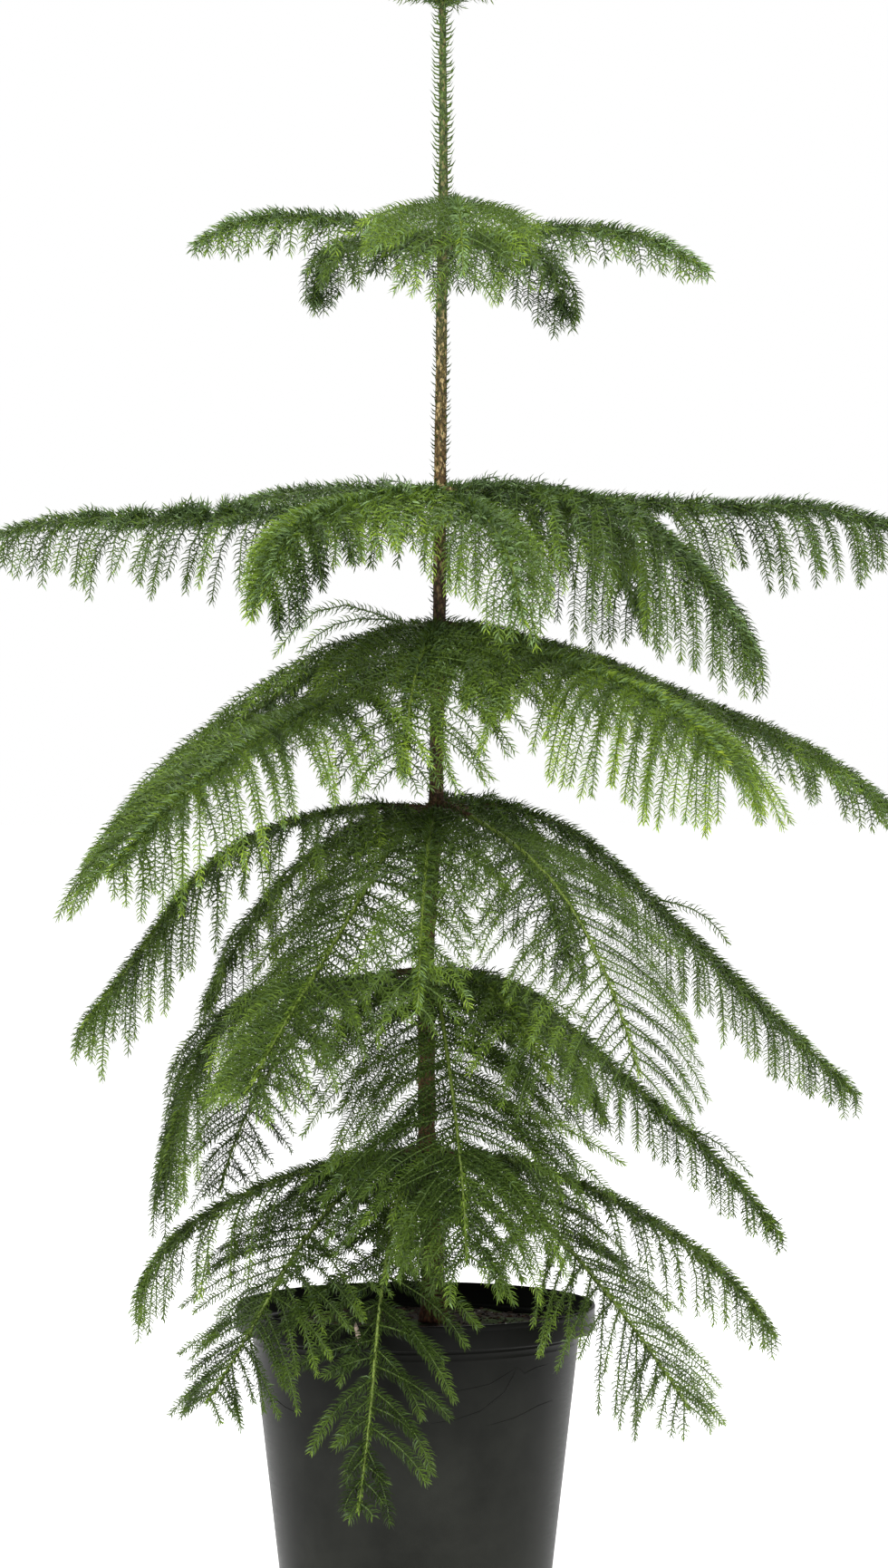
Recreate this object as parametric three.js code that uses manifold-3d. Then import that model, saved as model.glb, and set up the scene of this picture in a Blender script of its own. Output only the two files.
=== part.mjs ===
// A Norfolk Island pine about 1.3 m tall, growing in a round 28 cm nursery pot.
//
// Millimetres and degrees, +Z up, -Y towards the front. The origin is the centre of the pot's flat underside.
// The trunk runs whole from the potting mix to its bud. Seven whorls of branches leave it, tier_1 lowest.
// Each branch is a limb in one upright plane: a heading seen from above, a length, and its pitch along it.
// The three lowest whorls start with a bare bough. Every branch carries one mass of foliage: a stem of three
// sides with side twigs left and right, each a toothed blade that stands for a twig and its needles.

import * as THREE from "three";
import { mergeVertices } from "three/addons/utils/BufferGeometryUtils.js";
import Module from "manifold-3d";

const wasm = await Module();
wasm.setup();

// ---------------------------------------------------------------------------------------------------------
// Driving dimensions
// ---------------------------------------------------------------------------------------------------------

const GAP = 0.3; // clear space between neighbouring solids

const POT = {
  height: 236,
  rimRadius: 140,
  rimBand: 19, // height of the stout band below the rim
  neckRadius: 128, // outside of the wall just below the band
  footRadius: 103,
  footRounding: 3,
  lipRounding: 1.2,
  wall: 2.5,
  floor: 3,
  sides: 30,
  holes: 4,
  holeRadius: 6,
  holeCircle: 74,
  holeSides: 12,
};

// The potting mix lies level round the trunk, then falls away slowly, and faster towards the pot's wall.
const MIX = { top: 221.7, flatRadius: 22, slopeRadius: 75, slopeDrop: 1.2, edgeDrop: 4, sides: 24 };

// Height, sideways lean and radius of the trunk, from the root flare to the bud.
const TRUNK = [
  [222, 14, 12.5],
  [240, 14, 9.6],
  [300, 12, 7.6],
  [351, 8.5, 7],
  [500, 8, 6.4],
  [640, 16, 5.6],
  [800, 18.5, 5.1],
  [1000, 20, 4.3],
  [1100, 21.5, 3.7],
  [1250, 21, 2.5],
  [1296, 21.5, 2.1],
  [1306, 21.5, 0.8],
];
const TRUNK_SIDES = 8;
const TRUNK_STEP = 80; // height between two rings of the trunk, where no row of TRUNK asks for one

// Length of a side twig along its branch, as [share of the way, share of the longest]: tapering, or broad.
const TAPERED = [
  [0, 0.9],
  [0.2, 1],
  [0.4, 1],
  [0.6, 0.95],
  [0.8, 0.72],
  [1, 0.4],
];
const BROAD = [
  [0, 0.6],
  [0.2, 0.85],
  [0.4, 1],
  [0.6, 1],
  [0.8, 0.9],
  [1, 0.5],
];

// How the side twigs of a branch hang: the angles that they leave it by at its foot and tip, how far one bends
// down along its length, the shares of that bend at even steps along it, how much steeper than the plane of its
// branch it sets off, and the table of its lengths.
const HABITS = {
  comb: { leave: [64, 40], droop: 90, bend: [0, 0.35, 0.9, 1], rise: 9, shares: TAPERED },
  sweep: { leave: [82, 54], droop: 58, bend: [0, 0.25, 0.65, 1], rise: 8, shares: TAPERED },
  arch: { leave: [80, 52], droop: 62, bend: [0, 0.25, 0.6, 1], rise: 6, shares: BROAD },
  claw: { leave: [64, 40], droop: 84, bend: [0, 0.25, 0.65, 1], rise: 8, shares: BROAD },
  fan: { leave: [84, 52], droop: 42, bend: [0, 0.25, 0.6, 1], rise: 0, shares: BROAD },
  fern: { leave: [84, 58], droop: 30, bend: [0, 0.25, 0.6, 1], rise: 0, shares: TAPERED },
  shield: { leave: [98, 54], droop: 64, bend: [0, 0.35, 0.8, 1], rise: 4, shares: BROAD },
  frond: { leave: [82, 54], droop: 50, bend: [0, 0.3, 0.7, 1], rise: 0, shares: TAPERED },
  open: { leave: [74, 48], droop: 34, bend: [0, 0.25, 0.6, 1], rise: 0, shares: TAPERED },
  young: { leave: [64, 40], droop: 30, bend: [0, 0.25, 0.6, 1], rise: 0, shares: TAPERED },
};

// Whorls, lowest first, each with the length of its bare boughs and the number of twigs on a branch. A branch is
// [heading, length, pitch at its foot, at a third, at two thirds and at its tip, habit, longest side twig].
const WHORLS = {
  tier_1: {
    height: 351,
    bough: 44,
    sprays: 12,
    branches: {
      left: [187, 264, [4, -16, -29, -68], "comb", 116],
      front_left: [221, 290, [-5, -38, -54, -48], "fern", 112],
      front: [257, 350, [5, -45, -72, -56], "open", 76],
      front_right: [327, 306, [-10, -38, -46, -52], "fern", 118],
      right: [352, 316, [6, -22, -32, -58], "comb", 94],
      back: [95, 330, [0, -30, -40, -60], "comb", 74],
    },
  },
  tier_2: {
    height: 489,
    bough: 46,
    sprays: 12,
    branches: {
      front_left: [192, 298, [-3, -3, -67, -79], "arch", 116],
      front: [279, 300, [-5, -46, -52, -80], "frond", 122],
      front_right: [308, 180, [14, -12, -42, -55], "arch", 76],
      right: [350, 354, [1, -42, -40, -54], "comb", 74],
      back_right: [55, 300, [5, -20, -38, -50], "comb", 66],
      back_left: [143, 300, [0, -34, -54, -74], "fern", 92],
    },
  },
  tier_3: {
    height: 621,
    bough: 46,
    sprays: 11,
    branches: {
      left: [195, 348, [8, -17, -54, -50], "shield", 104],
      front_left: [238, 336, [-22, -44, -40, -46], "frond", 96],
      front: [267, 290, [-8, -20, -40, -60], "arch", 72],
      front_right: [305, 342, [-12, -24, -50, -66], "fan", 112],
      right: [355, 410, [12, -42, -44, -43], "comb", 92],
      back_right: [65, 330, [6, -20, -40, -60], "comb", 80],
      back_left: [152, 280, [-2, -30, -50, -65], "comb", 80],
    },
  },
  tier_4: {
    height: 760,
    bough: 0,
    sprays: 12,
    branches: {
      front_left: [212, 348, [-42, -20, -34, -48], "sweep", 170],
      front: [260, 204, [-12, -24, -48, -68], "sweep", 106],
      front_right: [323, 292, [-12, -14, -20, -50], "shield", 136],
      right: [8, 400, [-8, -21, -22, -40], "sweep", 122],
      back: [80, 300, [0, -5, -12, -30], "comb", 62],
      back_left: [155, 322, [-6, -29, -35, -47], "sweep", 112],
    },
  },
  tier_5: {
    height: 864,
    bough: 0,
    sprays: 12,
    branches: {
      left: [183, 366, [-1, -9, 3, -22], "comb", 100],
      front_left: [238, 274, [-6, -8, -18, -74], "claw", 82],
      front: [285, 272, [-6, -10, -30, -65], "comb", 80],
      front_right: [334, 312, [-2, -6, -42, -60], "comb", 134],
      right: [2, 385, [5, -6, 2, -27], "comb", 110],
      back_right: [52, 300, [8, 0, -30, -60], "comb", 130],
      back_left: [130, 252, [10, 5, 0, -4], "comb", 50],
    },
  },
  tier_6: {
    height: 1060,
    bough: 0,
    sprays: 9,
    branches: {
      left: [198, 207, [23, 5, -4, -37], "comb", 50],
      front: [275, 205, [15, 9, -25, -85], "fan", 84],
      right: [342, 221, [8, 6, -12, -40], "comb", 50],
      back_right: [53, 190, [10, 4, -18, -85], "comb", 66],
      back_left: [124, 208, [10, 8, 2, -90], "comb", 58],
    },
  },
};

// The young whorl at the tree's tip: its branches are short, and a collar round the leader joins them.
const TIP = {
  height: 1250,
  collarHeight: 5,
  collarWall: 1.8,
  armRadius: 1.6,
  armTipRadius: 0.8,
  armSteps: 3,
  bareShare: 0.1, // of each branch, next to the collar
  habit: "young",
  twig: 32,
  sprays: 2,
  pitches: [30, 22, 15, 5],
  branches: {
    left: [190, 90],
    front: [262, 90],
    front_right: [334, 85],
    back_right: [46, 90],
    back_left: [118, 85],
  },
};

const PATH_STEPS = 7; // straight steps of a branch or of a side twig
const POT_MARGIN = 7; // how far a limb that meets the pot passes over or outside it
const FOOT_DEPTH = 0.4; // share of the trunk's radius where a branch's path starts
const STAGGER = 6; // every other branch of a whorl leaves the trunk this much higher
const BOUGH = { footRadius: 2.5, tipRadius: 2.2, sides: 5 };
const STEM = { footRadius: 2.2, tipRadius: 1.1, sides: 3, endsAt: 0.93, bladeFrom: 0.86 };

// A blade: half its width, the thickness of its ridge, and the room that is kept free round it.
const BLADE = { halfWidth: 15, thickness: 3, room: 1.6, ridgeAt: 0.45, toothed: 74 };

// Where the points of a blade's edge lie: [share of its length, share of its half width].
const ONE_TOOTH = [
  [0.48, 1],
  [0.62, 0.36],
];
const TWO_TEETH = [
  [0.4, 1],
  [0.5, 0.42],
  [0.72, 0.8],
  [0.78, 0.3],
];

const TWIGS_FROM = 0.04; // of a branch: the first side twig stands this far along its mass
const TWIGS_TO = 0.95;
const LEAVE_SPREAD = 6; // how far a twig may turn from the angle that its habit gives, in degrees
const STEEPEST = -88; // no twig hangs steeper than this
const DROOP_SPREAD = [0.85, 1.1];
const LENGTH_SPREAD = [0.9, 1.08];
const TWIG_SHORTER = [1, 0.8, 0.62]; // lengths tried where a twig would touch its neighbours

// ---------------------------------------------------------------------------------------------------------
// Small helpers
// ---------------------------------------------------------------------------------------------------------

// A Lehmer generator, so that every build deals out the same numbers.
const MODULUS = 2147483647;
let seed = 11;
function random(low, high) {
  seed = (seed * 16807) % MODULUS;
  return low + ((high - low) * seed) / MODULUS;
}

// The value at x of a table whose rows start with their own x, with straight stretches between the rows.
function along(rows, x, column = 1) {
  const next = rows.findIndex((row) => row[0] >= x);
  if (next <= 0) return next === 0 ? rows[0][column] : rows.at(-1)[column];
  const [a, b] = [rows[next - 1], rows[next]];
  return THREE.MathUtils.mapLinear(x, a[0], b[0], a[column], b[column]);
}

function solidOf(geometry) {
  const bare = new THREE.BufferGeometry();
  bare.setAttribute("position", geometry.getAttribute("position"));
  bare.setIndex(geometry.getIndex());
  const merged = mergeVertices(bare, 1e-4);
  return new wasm.Manifold(
    new wasm.Mesh({
      numProp: 3,
      vertProperties: new Float32Array(merged.getAttribute("position").array),
      triVerts: new Uint32Array(merged.getIndex().array),
    }),
  );
}

function geometryOf(solid) {
  const mesh = solid.getMesh();
  const geometry = new THREE.BufferGeometry();
  geometry.setAttribute("position", new THREE.BufferAttribute(mesh.vertProperties, 3));
  geometry.setIndex(new THREE.BufferAttribute(mesh.triVerts, 1));
  geometry.computeVertexNormals();
  return geometry;
}

function boxesMeet(a, b) {
  return [0, 1, 2].every((axis) => a.min[axis] <= b.max[axis] && b.min[axis] <= a.max[axis]);
}

function touches(solid, others) {
  const box = solid.boundingBox();
  return others.some((other) => boxesMeet(box, other.box) && solid.intersect(other.solid).volume() > 0);
}

// ---------------------------------------------------------------------------------------------------------
// Limbs
// ---------------------------------------------------------------------------------------------------------

const bandFoot = POT.height - POT.rimBand;

function potRadius(z) {
  if (z > bandFoot) return POT.rimRadius;
  return THREE.MathUtils.mapLinear(Math.max(z, 0), 0, bandFoot, POT.footRadius, POT.neckRadius);
}

// Moves a point that would lie in the pot over its rim or out through its side, whichever is nearer.
function clearOfPot(point) {
  const radius = Math.hypot(point.x, point.y);
  const up = POT.height + POT_MARGIN - point.z;
  const out = potRadius(point.z) + POT_MARGIN - radius;
  if (up <= 0 || out <= 0) return point;
  if (up < out) return point.setZ(point.z + up);
  point.x *= (radius + out) / radius;
  point.y *= (radius + out) / radius;
  return point;
}

// A path in an upright plane, as its points, with the level direction square to that plane.
function shoot(start, heading, length, pitches, steps = PATH_STEPS) {
  const angle = THREE.MathUtils.degToRad(heading);
  const points = [start.clone()];
  const rows = pitches.map((pitch, i) => [i / (pitches.length - 1), pitch]);
  for (let i = 0; i < steps; i++) {
    const pitch = THREE.MathUtils.degToRad(along(rows, (i + 0.5) / steps));
    const step = new THREE.Vector3(
      Math.cos(angle) * Math.cos(pitch),
      Math.sin(angle) * Math.cos(pitch),
      Math.sin(pitch),
    );
    points.push(clearOfPot(points.at(-1).clone().addScaledVector(step, length / steps)));
  }
  const side = new THREE.Vector3(-Math.sin(angle), Math.cos(angle), 0);
  return { points, side, heading, length };
}

function placeOn(path, t) {
  const x = THREE.MathUtils.clamp(t, 0, 1) * (path.points.length - 1);
  const i = Math.min(Math.floor(x), path.points.length - 2);
  return path.points[i].clone().lerp(path.points[i + 1], x - i);
}

function directionOn(path, t) {
  const reach = 0.5 / (path.points.length - 1);
  return placeOn(path, t + reach).sub(placeOn(path, t - reach)).normalize();
}

function stretchOf(path, from, to) {
  const points = Array.from({ length: PATH_STEPS + 1 }, (_, i) =>
    placeOn(path, THREE.MathUtils.lerp(from, to, i / PATH_STEPS)),
  );
  return { ...path, points, length: path.length * (to - from) };
}

// A tapering limb from one share of a path to another: a closed cylinder whose rings are carried onto the
// path, one to each of its points, so that what grows from the path grows from the middle of the limb.
function limb(path, from, to, radiusAt, sides) {
  const last = path.points.length - 1;
  const ringsAt = [from, ...path.points.keys().map((i) => i / last).filter((t) => t > from && t < to), to];
  const geometry = new THREE.CylinderGeometry(1, 1, 1, sides, ringsAt.length - 1);
  const position = geometry.getAttribute("position");
  const local = new THREE.Vector3();
  for (let i = 0; i < position.count; i++) {
    local.fromBufferAttribute(position, i);
    const t = ringsAt[Math.round((local.y + 0.5) * (ringsAt.length - 1))];
    const ahead = directionOn(path, t);
    const across = path.side.clone();
    const upward = across.clone().cross(ahead);
    const radius = radiusAt(t);
    const place = placeOn(path, t)
      .addScaledVector(across, local.x * radius)
      .addScaledVector(upward, local.z * radius);
    position.setXYZ(i, place.x, place.y, place.z);
  }
  return geometry;
}

// ---------------------------------------------------------------------------------------------------------
// Pot and potting mix
// ---------------------------------------------------------------------------------------------------------

function lathe(profile, sides) {
  const points = profile.map(([radius, z]) => new THREE.Vector2(radius, z));
  return new THREE.LatheGeometry(points, sides).rotateX(Math.PI / 2);
}

function innerRadius(z) {
  return potRadius(Math.min(z, bandFoot)) - POT.wall;
}

function pot() {
  const { height, rimRadius, neckRadius, footRadius, footRounding, lipRounding, wall, floor } = POT;
  const bandInside = rimRadius - wall;
  const shoulder = bandFoot + wall;
  let body = solidOf(
    lathe(
      [
        [0, 0],
        [footRadius - footRounding, 0],
        [footRadius, footRounding],
        [neckRadius, bandFoot],
        [rimRadius, bandFoot],
        [rimRadius, height - lipRounding],
        [rimRadius - lipRounding, height],
        [bandInside, height],
        [bandInside, shoulder],
        [neckRadius - wall, shoulder],
        [innerRadius(floor), floor],
        [0, floor],
      ],
      POT.sides,
    ),
  );
  for (let i = 0; i < POT.holes; i++) {
    const drill = new THREE.CylinderGeometry(POT.holeRadius, POT.holeRadius, 4 * floor, POT.holeSides);
    const angle = (2 * Math.PI * (i + 0.5)) / POT.holes;
    drill.rotateX(Math.PI / 2).translate(POT.holeCircle * Math.cos(angle), POT.holeCircle * Math.sin(angle), 0);
    body = body.subtract(solidOf(drill));
  }
  return body;
}

function pottingMix() {
  const foot = POT.floor + GAP;
  const edge = MIX.top - MIX.edgeDrop;
  // The sides stay inside the flats of the pot's faceted wall.
  const fit = Math.cos(Math.PI / POT.sides);
  return solidOf(
    lathe(
      [
        [0, foot],
        [innerRadius(foot) * fit - GAP, foot],
        [innerRadius(edge) * fit - GAP, edge],
        [MIX.slopeRadius, MIX.top - MIX.slopeDrop],
        [MIX.flatRadius, MIX.top],
        [0, MIX.top],
      ],
      MIX.sides,
    ),
  );
}

// ---------------------------------------------------------------------------------------------------------
// Trunk, boughs and foliage
// ---------------------------------------------------------------------------------------------------------

// Between two rows the trunk eases from one lean to the next, so that it bends without a corner.
function trunkLean(z) {
  const next = TRUNK.findIndex((row) => row[0] >= z);
  if (next <= 0) return next === 0 ? TRUNK[0][1] : TRUNK.at(-1)[1];
  const [a, b] = [TRUNK[next - 1], TRUNK[next]];
  return THREE.MathUtils.lerp(a[1], b[1], THREE.MathUtils.smoothstep(z, a[0], b[0]));
}

function trunkRadius(z) {
  return along(TRUNK, z, 2);
}

// The trunk is a closed cylinder too, with level rings at each row of TRUNK, and between rows that lie far
// apart. With room, it is grown by the gap that what meets the trunk keeps to it.
function trunk(room = 0) {
  const heights = TRUNK.flatMap(([z], i) => {
    const span = i + 1 < TRUNK.length ? TRUNK[i + 1][0] - z : 0;
    const parts = Math.max(1, Math.round(span / TRUNK_STEP));
    return Array.from({ length: parts }, (_, k) => z + (span * k) / parts);
  });
  const geometry = new THREE.CylinderGeometry(1, 1, 1, TRUNK_SIDES, heights.length - 1).rotateX(Math.PI / 2);
  const position = geometry.getAttribute("position");
  for (let i = 0; i < position.count; i++) {
    const z = heights[Math.round((position.getZ(i) + 0.5) * (heights.length - 1))];
    const radius = trunkRadius(z) + room;
    position.setXYZ(i, trunkLean(z) + radius * position.getX(i), radius * position.getY(i), z);
  }
  return solidOf(geometry);
}

// A branch starts inside the trunk, and its foot is then cut to the trunk's surface.
function branchPath(height, heading, length, pitches, steps = PATH_STEPS) {
  const angle = THREE.MathUtils.degToRad(heading);
  const away = FOOT_DEPTH * trunkRadius(height);
  const start = new THREE.Vector3(
    trunkLean(height) + away * Math.cos(angle),
    away * Math.sin(angle),
    height,
  );
  return shoot(start, heading, length - away, pitches, steps);
}

// A toothed blade along a twig: an edge that runs out to the tip and back, and a ridge above and below it.
function blade(twig, halfWidth, thickness, teeth) {
  const onEdge = (share, sign) =>
    placeOn(twig, share[0]).addScaledVector(twig.side, sign * share[1] * halfWidth);
  const edge = [
    placeOn(twig, 0),
    ...teeth.map((share) => onEdge(share, -1)),
    placeOn(twig, 1),
    ...teeth.toReversed().map((share) => onEdge(share, 1)),
  ];
  const middle = placeOn(twig, BLADE.ridgeAt);
  const upward = directionOn(twig, BLADE.ridgeAt).cross(twig.side).multiplyScalar(thickness / 2);
  const corners = [...edge, middle.clone().add(upward), middle.clone().sub(upward)];
  const [top, bottom] = [edge.length, edge.length + 1];
  const faces = edge.flatMap((_, i) => {
    const j = (i + 1) % edge.length;
    return [top, i, j, bottom, j, i];
  });
  const geometry = new THREE.BufferGeometry().setFromPoints(corners);
  geometry.setIndex(faces);
  return geometry;
}

function spray(twig, taken) {
  const teeth = twig.length > BLADE.toothed ? TWO_TEETH : ONE_TOOTH;
  const { halfWidth, thickness, room } = BLADE;
  // Its root may lie against its own stem, but the rest of it keeps some room all round.
  const beyondRoot = stretchOf(twig, room / twig.length, 1);
  const reach = solidOf(blade(beyondRoot, halfWidth + room, thickness + 2 * room, teeth));
  return touches(reach, taken) ? null : solidOf(blade(twig, halfWidth, thickness, teeth));
}

// Adds to the stem of one branch its side twigs, by turns left and right, and the blade at its tip. A twig sets
// off in the plane of its branch and then hangs by the branch's habit.
function foliage(stemSolid, path, from, { habit, twig, sprays }, taken) {
  const { leave, droop, bend, rise, shares } = HABITS[habit];
  const blades = [];
  for (let k = 0; k < sprays; k++) {
    const t = THREE.MathUtils.lerp(from + TWIGS_FROM, TWIGS_TO, (k + 0.5) / sprays);
    const hand = k % 2 ? 1 : -1;
    const spread = random(-LEAVE_SPREAD, LEAVE_SPREAD);
    const angle = THREE.MathUtils.degToRad(THREE.MathUtils.lerp(...leave, t) + spread);
    const way = directionOn(path, t)
      .multiplyScalar(Math.cos(angle))
      .addScaledVector(path.side, hand * Math.sin(angle));
    const heading = THREE.MathUtils.radToDeg(Math.atan2(way.y, way.x));
    const pitch = THREE.MathUtils.radToDeg(Math.asin(way.z)) + rise;
    const bentBy = droop * random(...DROOP_SPREAD);
    const pitches = bend.map((share) => Math.max(pitch - share * bentBy, STEEPEST));
    const length = twig * along(shares, t) * random(...LENGTH_SPREAD);
    for (const share of TWIG_SHORTER) {
      const made = spray(shoot(placeOn(path, t), heading, length * share, pitches), taken);
      if (!made) continue;
      blades.push(made);
      break;
    }
  }
  const tip = spray(stretchOf(path, STEM.bladeFrom, 1), taken);
  if (tip) blades.push(tip);
  return blades.reduce((whole, one) => whole.add(one), stemSolid);
}

function stem(path, from) {
  const radiusAt = (t) => THREE.MathUtils.lerp(STEM.footRadius, STEM.tipRadius, t);
  const solid = solidOf(limb(path, from, STEM.endsAt, radiusAt, STEM.sides));
  return from ? solid : solid.subtract(trunkRoom);
}

function bough(path, to) {
  const radiusAt = (t) => THREE.MathUtils.lerp(BOUGH.footRadius, BOUGH.tipRadius, t / to);
  return solidOf(limb(path, 0, to, radiusAt, BOUGH.sides)).subtract(trunkRoom);
}

function tipWhorl(taken) {
  const radius = trunkRadius(TIP.height) + GAP + TIP.collarWall;
  const collar = new THREE.CylinderGeometry(radius, radius, TIP.collarHeight, TRUNK_SIDES);
  collar.rotateX(Math.PI / 2).translate(trunkLean(TIP.height), 0, TIP.height);
  const armRadius = (t) => THREE.MathUtils.lerp(TIP.armRadius, TIP.armTipRadius, t);
  let whole = solidOf(collar);
  for (const [heading, length] of Object.values(TIP.branches)) {
    const path = branchPath(TIP.height, heading, length, TIP.pitches, TIP.armSteps);
    const arm = limb(path, 0, STEM.endsAt, armRadius, STEM.sides);
    whole = foliage(whole.add(solidOf(arm)), path, TIP.bareShare, TIP, taken);
  }
  return whole.subtract(trunkRoom);
}

// ---------------------------------------------------------------------------------------------------------
// The plant
// ---------------------------------------------------------------------------------------------------------

const MATERIALS = {
  pot: new THREE.MeshStandardMaterial({ color: 0x2b2b2a, roughness: 0.5 }),
  mix: new THREE.MeshStandardMaterial({ color: 0x2a211a, roughness: 0.95 }),
  bark: new THREE.MeshStandardMaterial({ color: 0x6a4a34, roughness: 0.85 }),
  foliage: new THREE.MeshStandardMaterial({ color: 0x4c7a33, roughness: 0.6 }),
};

const plant = new THREE.Group();

function addNode(name, solid, material) {
  const mesh = new THREE.Mesh(geometryOf(solid), material);
  mesh.name = name;
  plant.add(mesh);
}

const owned = [];
function own(name, solid) {
  owned.push({ name, solid, box: solid.boundingBox() });
  return solid;
}
function allBut(name) {
  return owned.filter((one) => one.name !== name);
}

addNode("pot", own("pot", pot()), MATERIALS.pot);
addNode("potting_mix", own("potting_mix", pottingMix()), MATERIALS.mix);
addNode("trunk", own("trunk", trunk()), MATERIALS.bark);
const trunkRoom = trunk(GAP);

// Every stem is placed before the first blade, so that no blade grows through another branch.
const limbs = [];
for (const [tier, whorl] of Object.entries(WHORLS)) {
  for (const [i, [place, row]] of Object.entries(whorl.branches).entries()) {
    const [heading, length, pitches, habit, twig] = row;
    const height = whorl.height + (i % 2) * STAGGER;
    const path = branchPath(height, heading, length, pitches);
    const from = whorl.bough / path.length;
    if (from) {
      const name = `${tier}_bough_${place}`;
      addNode(name, own(name, bough(path, from - GAP / path.length)), MATERIALS.bark);
    }
    const name = `${tier}_foliage_${place}`;
    const rule = { habit, twig, sprays: whorl.sprays };
    limbs.push({ name, path, from, rule, stem: own(name, stem(path, from)) });
  }
}

for (const { name, path, from, rule, stem: bare } of limbs) {
  const whole = foliage(bare, path, from, rule, allBut(name));
  owned.splice(
    owned.findIndex((one) => one.name === name),
    1,
  );
  addNode(name, own(name, whole), MATERIALS.foliage);
}
addNode("tier_7_foliage_tip", tipWhorl(allBut("trunk")), MATERIALS.foliage);

export default plant;
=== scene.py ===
"""A potted Norfolk Island pine: the looks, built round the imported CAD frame.

Blender works in metres. The tables below repeat the part's own, in millimetres, so every branch, twig and
needle grows where the solids are. Shapes are worked out in millimetres with numpy and scaled when a mesh is
made. Headings are degrees from +X seen from above, and -Y is the front.
"""

import math

import bpy
import numpy as np
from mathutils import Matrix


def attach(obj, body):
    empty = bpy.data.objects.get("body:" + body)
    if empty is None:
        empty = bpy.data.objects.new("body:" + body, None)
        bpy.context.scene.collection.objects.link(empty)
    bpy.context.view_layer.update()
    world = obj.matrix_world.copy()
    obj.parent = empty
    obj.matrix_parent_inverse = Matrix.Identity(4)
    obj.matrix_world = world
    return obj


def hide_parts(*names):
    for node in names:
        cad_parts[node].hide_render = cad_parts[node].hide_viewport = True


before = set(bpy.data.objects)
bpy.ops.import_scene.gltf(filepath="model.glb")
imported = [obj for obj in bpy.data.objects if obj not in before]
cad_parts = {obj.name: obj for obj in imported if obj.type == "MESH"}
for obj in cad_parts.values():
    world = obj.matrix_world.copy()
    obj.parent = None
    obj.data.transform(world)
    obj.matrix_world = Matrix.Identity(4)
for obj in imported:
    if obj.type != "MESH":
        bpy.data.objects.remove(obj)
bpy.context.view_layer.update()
MM = 0.001


class Table(dict):
    """A dictionary that is read as table.key too."""

    __getattr__ = dict.__getitem__


# --- The part's own dimensions ---

POT = Table(
    height=236, rim_radius=140, rim_band=19, neck_radius=128, foot_radius=103,
    foot_rounding=3, wall=2.5, floor=3, holes=4, hole_radius=6, hole_circle=74,
)
BAND_FOOT = POT.height - POT.rim_band
MIX = Table(top=221.7, flat_radius=22, slope_radius=75, slope_drop=1.2, edge_drop=4)

# Height, sideways lean and radius of the trunk.
TRUNK = np.array([
    (222, 14, 12.5), (240, 14, 9.6), (300, 12, 7.6), (351, 8.5, 7), (500, 8, 6.4), (640, 16, 5.6),
    (800, 18.5, 5.1), (1000, 20, 4.3), (1100, 21.5, 3.7), (1250, 21, 2.5), (1296, 21.5, 2.1),
    (1306, 21.5, 0.8),
])

# Twig lengths along a branch, as (share of the way, share of the longest): tapering to its tip, or broad.
TAPERED = np.array([(0, 0.9), (0.2, 1), (0.4, 1), (0.6, 0.95), (0.8, 0.72), (0.93, 0.44), (1, 0.16)])
BROAD = np.array([(0, 0.6), (0.2, 0.85), (0.4, 1), (0.6, 1), (0.8, 0.9), (0.93, 0.66), (1, 0.3)])

# How the twigs of a branch hang: the angles that they leave it by at its foot and tip, their droop and its
# shares at even steps, how far above their branch they set off, their lengths, their spacing on each side,
# the size of their needles and how upright these stand, the kind of needles on the branch, whether tufts
# stand on its crest, and how freely the twigs stray. A habit names what differs from the plain one.
PLAIN_HABIT = Table(
    bend=(0, 0.25, 0.6, 1), rise=0, shares=TAPERED, size=0.95, flat=0.9, fur="branch",
    tufted=True, loose=1,
)
HABITS = {
    "comb": Table(leave=(64, 40), droop=90, bend=(0, 0.35, 0.9, 1), rise=9, spacing=13.5, flat=0.7),
    "sweep": Table(leave=(82, 54), droop=58, bend=(0, 0.25, 0.65, 1), rise=8, spacing=9.5, flat=0.8),
    "arch": Table(leave=(80, 52), droop=62, rise=6, shares=BROAD, spacing=12),
    "claw": Table(
        leave=(64, 40), droop=84, bend=(0, 0.25, 0.65, 1), rise=8, shares=BROAD, spacing=6, size=1,
    ),
    "fan": Table(
        leave=(84, 52), droop=42, shares=BROAD, spacing=10.5, size=0.8, flat=1.6, fur="rachis", tufted=False,
    ),
    "fern": Table(
        leave=(84, 58), droop=30, spacing=8.5, size=0.85, flat=1.6, fur="rachis", tufted=False, loose=1.5,
    ),
    "shield": Table(
        leave=(98, 54), droop=64, bend=(0, 0.35, 0.8, 1), rise=4, shares=BROAD, spacing=7, fur="rachis",
    ),
    "frond": Table(
        leave=(82, 54), droop=50, bend=(0, 0.3, 0.7, 1), spacing=5.4, size=1, flat=1.2, fur="rachis",
        tufted=False, loose=1.8,
    ),
    "open": Table(
        leave=(74, 48), droop=34, spacing=15, size=1.08, flat=1.3, fur="rachis", tufted=False, loose=2.4,
    ),
    "young": Table(leave=(64, 40), droop=30, spacing=11, size=0.9, flat=1, tufted=False),
}

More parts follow.
